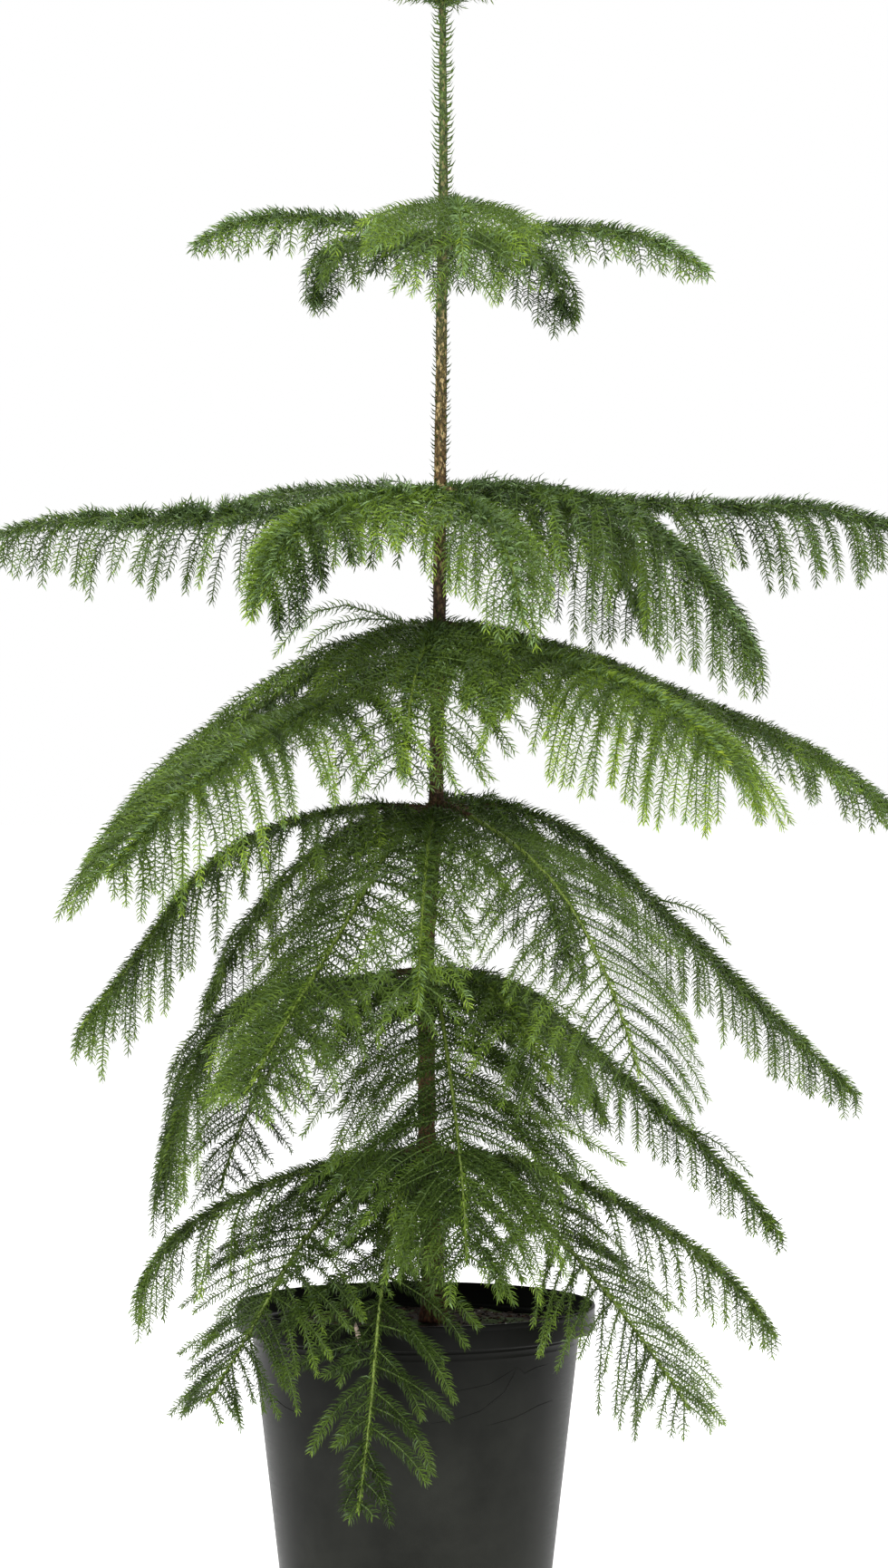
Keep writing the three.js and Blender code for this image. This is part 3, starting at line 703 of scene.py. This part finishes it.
def tufts(branch):
    """Short young twigs that stand up from the crest of a branch."""
    first = branch.clothed
    count = int((1 - first) * branch.length / TUFTS.spacing / max(branch.apart, 1))
    share = rng.uniform(first, TUFTS.until, count)
    starts, ahead = along_paths(branch.points, 0, share)
    heading = branch.heading + rng.choice((-1, 1), count) * rng.uniform(*TUFTS.turn, count)
    pitch = np.degrees(np.arcsin(ahead[:, 2])) + rng.uniform(*TUFTS.rise, count)
    lengths = rng.uniform(*TUFTS.length, count) * (1 - TUFT_TAPER * share)
    return grown(starts, heading, lengths, pitch[:, None] - TUFT_DROOP)


def pompoms(branch):
    """Round tufts of short twigs on the crest of a branch."""
    share = np.repeat(POMPOMS[branch.name], POMPOM.twigs)
    share = share + rng.normal(0, POMPOM.spread, len(share))
    starts, _ = along_paths(branch.points, 0, share)
    heading = rng.uniform(0, 360, len(share))
    lengths = rng.uniform(*POMPOM.length, len(share))
    pitch = rng.uniform(*POMPOM.rise, len(share))
    return grown(starts, heading, lengths, pitch[:, None] - TUFT_DROOP)


def strays(branch):
    """The single twigs that stand out of the crest of one branch."""
    return grown(*(np.array(values, float) for values in zip(*STRAYS[branch.name])))


def grown(starts, headings, lengths, pitches, crest=1):
    """Twigs with their paths, whether they stand on a crest, and how much lighter their ends are."""
    points, side = shoots(starts, headings, lengths, pitches, TWIG_STEPS)
    crests, light = (np.full(len(lengths), value) for value in (crest, TIP_LIGHT))
    return Table(points=points, side=side, lengths=lengths, crest=crests, light=light)


def off_trunk(points):
    """Which twigs stay clear of the trunk beyond their first steps."""
    far = points[:, 2:]
    away = np.hypot(far[..., 0] - trunk_lean(far[..., 2]), far[..., 1])
    return (away > trunk_radius(far[..., 2]) + TRUNK_KEPT_CLEAR).all(axis=1)


branches = list(branch_paths())
for branch in branches:
    made = [side_twigs(branch)]
    if branch.habit.tufted:
        made.append(tufts(branch))
    if branch.name in STRAYS:
        made.append(strays(branch))
    if branch.name in POMPOMS:
        made.append(pompoms(branch))
    branch["twigs"] = Table((key, np.concatenate([twigs[key] for twigs in made])) for key in made[0])

# --- Foliage ---

# What the tone gains on the twigs, on the branches by their kind of needles, and towards their tips.
TWIG_TONE, TWIG_TONE_SPREAD = -0.12, 0.07
FUR_TONE = {"branch": 0.0, "rachis": 0.02}
FUR_TIP_LIGHT = 0.25
# The painted sheen of the sky on the crests: on how many needles it lies, and how many tones lighter it
# makes them.
CREST_SHEEN_SHARE = Table(tuft=0.8, branch=0.7, twig=0.22, rachis=0.0)  # of the needles there
CREST_SHEEN_LIGHTER = 0.3  # by how many of their tones
FURRED = ("tier_6_front", "tier_4_front_right")  # branches with long needles, whatever their habit
FUR_FOOT = 0.08  # share of its bough where a branch's own needles start
FUR_RADIUS, TWIG_FUR_RADIUS = 1.4, 0.6  # of the shoots that the needles stand on
# Needles on the trunk: kind, from where to where, and tone. The upper ones stand on the leader's green skin.
LEADER_FROM = 1085
TRUNK_STEPS = 40
TRUNK_NEEDLES = (("leader", LEADER_FROM, TRUNK[-1, 0], 0.42), ("trunk", 300, LEADER_FROM, 0.3))

corner_sets = []
tone_sets = []


def keep_needles(made, tone, crest_share=0.0):
    """Stores needles with the number of the colour that each one gets."""
    number = np.clip((tone * len(TONES)).astype(int), 0, len(TONES) - 1)
    # Painted sheen: some needles take the crests' greyer greens instead.
    on_crest = np.clip((tone * len(CREST_SHEEN_TONES) + CREST_SHEEN_LIGHTER).astype(int), 0, len(CREST_SHEEN_TONES) - 1)
    greyer = rng.uniform(0, 1, len(number)) < crest_share
    corner_sets.append(made[0])
    tone_sets.append(np.where(greyer, len(TONES) + on_crest, number))


for branch in branches:
    habit, twigs = branch.habit, branch.twigs
    tone, size, fur_size, fur_fuller, greyer = branch.looks
    tone += branch.lighter
    radius = np.full(len(twigs.lengths), TWIG_FUR_RADIUS)
    look = (habit.size * size, habit.flat, branch.fuller)
    made = needles(twigs.points, twigs.side, twigs.lengths, "twig", radius, *look)
    own = rng.normal(0, TWIG_TONE_SPREAD, len(radius))[made[1]] + TWIG_TONE
    crest = np.where(twigs.crest[made[1]] > 0, CREST_SHEEN_SHARE.tuft, CREST_SHEEN_SHARE.twig)
    keep_needles(made, tone + own + twigs.light[made[1]] * made[2] ** 2, crest * greyer)
    fur = "branch" if branch.name in FURRED else habit.fur
    length, radius = np.array([branch.length]), np.array([FUR_RADIUS])
    made = needles(branch.points, branch.side, length, fur, radius, fur_size, fuller=fur_fuller)
    made = tuple(values[made[2] > branch.bare * FUR_FOOT] for values in made)
    keep_needles(made, tone + FUR_TONE[fur] + FUR_TIP_LIGHT * made[2] ** 3, CREST_SHEEN_SHARE[fur] * greyer)


def trunk_path(low, high, steps):
    heights = np.linspace(low, high, steps + 1)
    points = np.stack([trunk_lean(heights), np.zeros_like(heights), heights], 1)
    return points[None], np.array([(0.0, 1.0, 0.0)])


for kind, low, high, tone in TRUNK_NEEDLES:
    points, side = trunk_path(low, high, TRUNK_STEPS)
    radius = trunk_radius(np.array([(low + high) / 2]))
    made = needles(points, side, np.array([high - low]), kind, radius)
    keep_needles(made, np.full(len(made[1]), tone))

corners, tones = np.concatenate(corner_sets), np.concatenate(tone_sets)
foliage_nodes = [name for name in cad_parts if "_foliage_" in name]
for number, (tone, (hexcode, slot)) in enumerate((TONES | CREST_SHEEN_TONES).items()):
    own = corners[tones == number]
    material = needle_material(f"needles_{tone}", hexcode)
    pieces = max(1, math.ceil(len(own) * len(NEEDLE_FACES) / MOST_TRIANGLES))
    for piece, share in enumerate(np.array_split(own, pieces)):
        name = f"needles_{tone}_{piece + 1}"
        dress(mesh_object(name, *copies(share, NEEDLE_FACES), material), slot, *foliage_nodes)

stems = {"twigs": [], "branch_axes_brown": [], "branch_axes_green": []}
for branch in branches:
    twigs = branch.twigs
    radii = np.broadcast_to(TWIG_RADII, twigs.points.shape[:2])
    stems["twigs"].append(tubes(twigs.points, twigs.side, radii, TWIG_SIDES))
    radii = AXIS_RADII * YOUNG_AXIS if branch.young else AXIS_RADII
    split = 0 if branch.young else int(BROWN_UNTIL * BRANCH_STEPS)
    stretches = {"green": slice(split, None)} | ({"brown": slice(0, split + 1)} if split else {})
    for name, stretch in stretches.items():
        limb = tubes(branch.points[:, stretch], branch.side, radii[stretch], AXIS_SIDES)
        stems[f"branch_axes_{name}"].append(limb)
skins = (
    ("twig_skin", "#617a2b", "#445a22"), ("axis_brown", "#6f7a35", "#4f4a26"),
    ("axis_green", "#7c8f36", "#566a28"),
)
for (name, parts), skin in zip(stems.items(), skins):
    dress(mesh_object(name, *joined(parts), shoot_material(*skin)), "green_stem", *foliage_nodes)

# --- Trunk and boughs ---


def lattice_noise(x, y, across, up, seed):
    """Smooth noise from -1 to 1 on a grid of random values. It closes on itself across x, from 0 to 1."""
    grid = np.random.default_rng(seed).uniform(-1, 1, (up + 2, across))
    column = np.floor(x * across).astype(int)
    row = np.clip(np.floor(y * up).astype(int), 0, up)
    part_x = x * across - column
    part_y = np.clip(y * up - row, 0, 1)
    part_x, part_y = (p * p * (3 - 2 * p) for p in (part_x, part_y))
    left, right = column % across, (column + 1) % across
    low = grid[row, left] * (1 - part_x) + grid[row, right] * part_x
    high = grid[row + 1, left] * (1 - part_x) + grid[row + 1, right] * part_x
    return low * (1 - part_y) + high * part_y


# The plates of the bark and its cracks: how many round a limb, their length along it, and their depth.
PLATES = Table(round=7, length=6, depth=0.6)
CRACKS = Table(round=13, length=3, depth=0.5, flat_from=0.2)


def bark_tube(points, side, radii, sides, roughness, seed):
    """One limb with the relief of its bark: plates, fine cracks and the bases of shed leaves."""
    rings = points.shape[1]
    x = np.broadcast_to(np.arange(sides) / sides, (rings, sides))
    y = np.broadcast_to(np.linspace(0, 1, rings)[:, None], (rings, sides))
    reach = np.linalg.norm(np.diff(points[0], axis=0), axis=1).sum()
    plates = lattice_noise(x, y, PLATES.round, max(3, int(reach / PLATES.length)), seed)
    cracks = lattice_noise(x, y, CRACKS.round, max(4, int(reach / CRACKS.length)), seed + 1)
    relief = PLATES.depth * plates + CRACKS.depth * np.minimum(cracks, CRACKS.flat_from)
    return tubes(points, side, radii[:, None] * (1 + roughness * relief), sides)


TRUNK_RING = 2.0
TRUNK_BARK = Table(sides=24, roughness=0.09, seed=5)
BOUGH_BARK = Table(sides=10, roughness=0.07)
BOUGH_SEED = 40
BOUGH_STEPS = 18
# The woody foot of a branch: how long at least, its radius, and the collar that it leaves the trunk with.
GROWN_FOOT = Table(reach=16, radius=AXIS_FOOT, collar=1.45)
YOUNG_FOOT = Table(reach=5, radius=1.3, collar=0.75)
COLLAR_FADE = 5  # the length in which a collar falls off

points, side = trunk_path(TRUNK[0, 0], TRUNK[-1, 0], int((TRUNK[-1, 0] - TRUNK[0, 0]) / TRUNK_RING))
wood = [bark_tube(points, side, trunk_radius(points[0, :, 2]), **TRUNK_BARK)]
for number, branch in enumerate(branches):
    foot = YOUNG_FOOT if branch.young else GROWN_FOOT
    share = np.linspace(0, max(branch.bough, foot.reach) / branch.length, BOUGH_STEPS + 1)
    points, _ = along_paths(branch.points, 0, share)
    radii = foot.radius + foot.collar * np.exp(-share * branch.length / COLLAR_FADE)
    wood.append(bark_tube(points[None], branch.side, radii, seed=BOUGH_SEED + number, **BOUGH_BARK))
bough_nodes = [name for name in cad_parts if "_bough_" in name]
dress(mesh_object("trunk_and_boughs", *joined(wood), bark_material()), "bark", "trunk", *bough_nodes)

# --- Pot and potting mix ---


def arc(centre_r, centre_z, radius, start, end, steps=5):
    """Profile points (radius, height) round a corner, from one angle to another."""
    angles = np.radians(np.linspace(start, end, steps + 1))
    return [(centre_r + radius * math.cos(a), centre_z + radius * math.sin(a)) for a in angles]


# The ring that the pot stands on, the height of its underside, the roundings of its lip and band, the step
# below the lip, and raised lines below the band as (distance, height).
MOULDING = Table(ring=13, underside=1.2, lip=1.1, inner_lip=0.6, band=1.4, step=0.25)
RAISED_LINES = ((9, 0.16), (4, 0.3))
FLOOR_SLOPE = 0.13  # how far the wall's foot leans out inside, by its height
POT_SIDES = 144
DRILL_SIDES = 32


def pot_profile():
    foot, neck, rim = POT.foot_radius, POT.neck_radius, POT.rim_radius
    top, wall, floor, base = POT.height, POT.wall, POT.floor, POT.foot_rounding
    ring, underside, lip, inner_lip, band, step = MOULDING.values()
    inside = rim - wall
    raised = []
    for below, out in RAISED_LINES:
        z = BAND_FOOT - below
        at = wall_radius(z)
        raised += [(at, z - 0.7), (at + out, z - 0.25), (at + out, z + 0.25), (at, z + 0.7)]
    return np.array([
        (0, underside), (foot - ring - 1, underside), (foot - ring, 0), (foot - base, 0),
        *arc(foot - base, base, base, -90, 0),
        *((wall_radius(z), z) for z in np.linspace(14, BAND_FOOT - 13, 24)),
        *raised,
        (neck, BAND_FOOT - 0.6),
        *arc(rim - band, BAND_FOOT + band, band, -90, 0, 4),
        (rim - step, top - 4.6), (rim - step, top - 4.0), (rim, top - 3.5),
        *arc(rim - lip, top - lip, lip, 0, 90),
        *arc(inside + inner_lip, top - inner_lip, inner_lip, 90, 180, 3),
        (inside, BAND_FOOT + wall + 1), (inside - 1, BAND_FOOT + wall),
        (neck - wall, BAND_FOOT + wall), (neck - wall, BAND_FOOT),
        (foot - wall + FLOOR_SLOPE * floor, floor), (0, floor),
    ])


def lathe(profile, sides):
    """A closed turned body. The profile starts and ends on the axis."""
    rings = polar(profile[1:-1, :1], round_angles(sides), profile[1:-1, 1:])
    return capped(rings, (0, 0, profile[0, 1]), (0, 0, profile[-1, 1]))


# Hairline marks of the moulding, as (degrees from the front towards the right, height) along each.
MOULD_MARKS = (
    ((-6, 184), (4, 184.5), (13, 184.5), (27, 189), (38, 200.5)),
    ((38, 200.5), (41.5, 194.5), (47, 198), (54, 199)),
    ((3, 160), (14, 163), (24, 169), (33, 182), (38, 200)),
    ((26, 157), (38, 161), (50, 168), (60, 170)),
    ((-62, 171), (-55, 166), (-48, 163)),
)
MARK_RADIUS = 0.34
MARK_STEPS = 12  # from one place to the next
MARK_SIDES = 5
MARK_TAPER = 6  # how steeply its ends fade


def mould_mark(rows):
    """A raised hairline that follows the wall."""
    rows = np.array(rows, float)
    fine = np.linspace(0, len(rows) - 1, MARK_STEPS * (len(rows) - 1) + 1)
    degrees, heights = (np.interp(fine, range(len(rows)), rows[:, column]) for column in (0, 1))
    angle = np.radians(degrees - 90)
    points = polar(wall_radius(heights), angle, heights)
    share = np.linspace(0, 1, len(fine))
    taper = np.minimum(1, MARK_TAPER * np.minimum(share, 1 - share) + 0.1)
    return tubes(points[None], polar(1.0, angle), MARK_RADIUS * taper, MARK_SIDES)


def bored(body, places, radius, depth):
    """Cuts upright round holes through a body."""
    for number, place in enumerate(places):
        profile = np.array([(0, -depth), (radius, -depth), (radius, depth), (0, depth)])
        vertices, triangles = lathe(profile, DRILL_SIDES)
        drill = mesh_object(f"drill_{number}", vertices + place, triangles, body.data.materials[0])
        cut = body.modifiers.new("hole", "BOOLEAN")
        cut.object = drill
        cut.operation = "DIFFERENCE"
        cut.solver = "EXACT"
        with bpy.context.temp_override(object=body, active_object=body):
            bpy.ops.object.modifier_apply(modifier=cut.name)
        bpy.data.objects.remove(drill)


plastic = pot_material()
pot = mesh_object("nursery_pot", *lathe(pot_profile(), POT_SIDES), plastic)
spots = polar(POT.hole_circle, 2 * math.pi * (np.arange(POT.holes) + 0.5) / POT.holes)
bored(pot, spots, POT.hole_radius, 4 * POT.floor)
dress(pot, "pot", "pot")
dress(mesh_object("mould_marks", *joined([mould_mark(rows) for rows in MOULD_MARKS]), plastic), "pot")

MIX_RINGS = 60
MIX_SIDES = 120
MIX_GAP = 0.3  # from the potting mix to the pot
MIX_EDGE = wall_radius(MIX.top - MIX.edge_drop - 2) - POT.wall - MIX_GAP
MIX_SUNK = 1.2  # how much lower the lumps start than the part's flat top
MIX_LUMPS = ((1.6, 14, 71), (0.9, 33, 72), (0.5, 80, 73))  # height, number from side to side, seed


def mix_surface(radius, angle):
    """Points on top of the potting mix: the part's profile with lumps on it."""
    points = polar(radius, angle)
    x, y = points[..., 0], points[..., 1]
    reach = (0, MIX.flat_radius, MIX.slope_radius, MIX_EDGE)
    base = np.interp(np.hypot(x, y), reach, (0, 0, -MIX.slope_drop, -MIX.edge_drop))
    u, v = (way / (2 * MIX_EDGE + 2) + 0.5 for way in (x, y))
    lumps = sum(height * lattice_noise(u, v, number, number, seed) for height, number, seed in MIX_LUMPS)
    points[..., 2] = MIX.top - MIX_SUNK + base + lumps
    return points


def mix_body():
    turn = round_angles(MIX_SIDES)
    foot = POT.floor + MIX_GAP
    low = polar(POT.foot_radius - POT.wall - MIX_GAP, turn, foot)
    top = mix_surface(np.linspace(MIX_EDGE, MIX_EDGE / MIX_RINGS, MIX_RINGS)[:, None], turn)
    return capped(np.concatenate([low[None], top]), (0, 0, foot), mix_surface(0.0, 0.0))


# The rough shape of a crumb, before it is scaled.
CRUMB_CORNERS = np.array([
    (1, 0, 0), (0, 1, 0), (-1, 0, 0), (0, -1, 0), (0.5, 0.5, 0.8), (-0.6, 0.3, 0.7), (0, -0.5, 0.9),
    (0, 0, -1),
])
CRUMB_FACES = np.array([
    (0, 1, 4), (1, 5, 4), (1, 2, 5), (2, 6, 5), (2, 3, 6), (3, 0, 6), (0, 4, 6), (4, 5, 6),
    (1, 0, 7), (2, 1, 7), (3, 2, 7), (0, 3, 7),
])
CRUMB_WIDTH = 0.6  # beside its length
CRUMB_ROUGHNESS = 0.3
CRUMB_EDGE = 4  # no crumb lies nearer to the pot's wall


def crumbs(count, low, high, flatness):
    """Irregular chips that lie on the potting mix."""
    radius = (MIX_EDGE - CRUMB_EDGE) * np.sqrt(rng.uniform(0.02, 1, count))
    places = mix_surface(radius, rng.uniform(0, 2 * math.pi, count))
    size = rng.uniform(low, high, (count, 1, 1))
    rough = 1 + rng.uniform(-CRUMB_ROUGHNESS, CRUMB_ROUGHNESS, (count, len(CRUMB_CORNERS), 3))
    shape = CRUMB_CORNERS * rough * size * np.array((1.0, CRUMB_WIDTH, flatness))
    spin = rng.uniform(0, 2 * math.pi, count)
    cos, sin = np.cos(spin)[:, None], np.sin(spin)[:, None]
    across, along, up = shape.transpose(2, 0, 1)
    turned = np.stack([across * cos - along * sin, across * sin + along * cos, up], 2)
    return copies(turned + places[:, None], CRUMB_FACES)


dress(mesh_object("potting_mix_top", *mix_body(), mix_material()), "potting_mix", "potting_mix")
for name, count, low, high, flatness, dark, pale in (
    ("bark_chips", 420, 1.6, 4.4, 0.4, "#20160f", "#4c3423"),
    ("peat_crumbs", 900, 0.7, 1.9, 0.8, "#110d0a", "#2c2018"),
    ("perlite_bits", 60, 0.8, 1.6, 0.9, "#8d8a82", "#cfccc2"),
):
    bits = crumbs(count, low, high, flatness)
    dress(mesh_object(name, *bits, crumb_material(name, dark, pale), smooth=False), "potting_mix")

# A dry husk that hangs over the rim, caught in the needles, as (x, y, height, radius) along it.
HUSK = np.array([
    (-44, -139, 239.5, 0.5), (-43.5, -142.5, 236, 1.5), (-42, -143, 231, 1.9), (-42.5, -142.5, 226, 1.6),
    (-42, -142, 223, 0.5),
])
HUSK_SIDES = 6
husk = tubes(HUSK[None, :, :3], np.array([(1.0, 0.0, 0.0)]), HUSK[:, 3], HUSK_SIDES)
husk_skin = crumb_material("dry_husk", "#c3aa98", "#d9c6b6")
dress(mesh_object("dry_husk", *husk, husk_skin, smooth=False), "potting_mix")

# --- Studio ---

# Places are in metres and powers in watts.
CAMERA = Table(place=(0.022, -3.182, 0.641), focal_pixels=4500, frame_height=1730, sensor=36.0)
NEAREST, FURTHEST = 0.1, 200  # that the camera sees
LIGHTS = (  # name, place, aim, size and power
    ("key", (-0.9, -2.6, 3.1), (0, 0, 0.7), 1.6, 132),
    ("fill", (2.6, -2.2, 1.5), (0, 0, 0.7), 1.6, 25),
    ("rear", (0.6, 2.8, 2.8), (0, 0, 0.8), 1.8, 50),
)
AMBIENT = 0.4  # what the white surroundings light the plant with
FLOOR_HALF = 60000  # millimetres


data = bpy.data.cameras.new("camera")
data.sensor_width = CAMERA.sensor
data.lens = CAMERA.sensor * CAMERA.focal_pixels / CAMERA.frame_height
data.clip_start = NEAREST
data.clip_end = FURTHEST
camera = linked("camera", data)
camera.location = CAMERA.place
camera.rotation_euler = (math.radians(90), 0, 0)
scene = bpy.context.scene
scene.camera = camera
scene.view_settings.view_transform = "Standard"

corners = np.array([(-1, -1, 0), (1, -1, 0), (1, 1, 0), (-1, 1, 0)]) * FLOOR_HALF
floor = mesh_object("floor", corners, np.array([(0, 1, 2), (0, 2, 3)]), floor_material(), smooth=False)

# White surroundings, brighter to the camera than to the plant.
world = bpy.data.worlds.new("studio")
world.use_nodes = True
scene.world = world
tree = world.node_tree
back = tree.nodes["Background"]
back.inputs["Color"].default_value = (1, 1, 1, 1)
seen = tree.nodes.new("ShaderNodeLightPath").outputs["Is Camera Ray"]
strength = tree.nodes.new("ShaderNodeMapRange")
strength.inputs["To Min"].default_value = AMBIENT
strength.inputs["To Max"].default_value = 1.0
tree.links.new(seen, strength.inputs["Value"])
tree.links.new(strength.outputs["Result"], back.inputs["Strength"])

for name, place, aim, size, power in LIGHTS:
    data = bpy.data.lights.new(name, "AREA")
    data.shape = "SQUARE"
    data.size = size
    data.energy = power
    light = linked(name, data)
    light.location = place
    x, y, z = np.subtract(aim, place)
    light.rotation_euler = (math.pi / 2 - math.atan2(-z, math.hypot(x, y)), 0, math.atan2(-x, y))
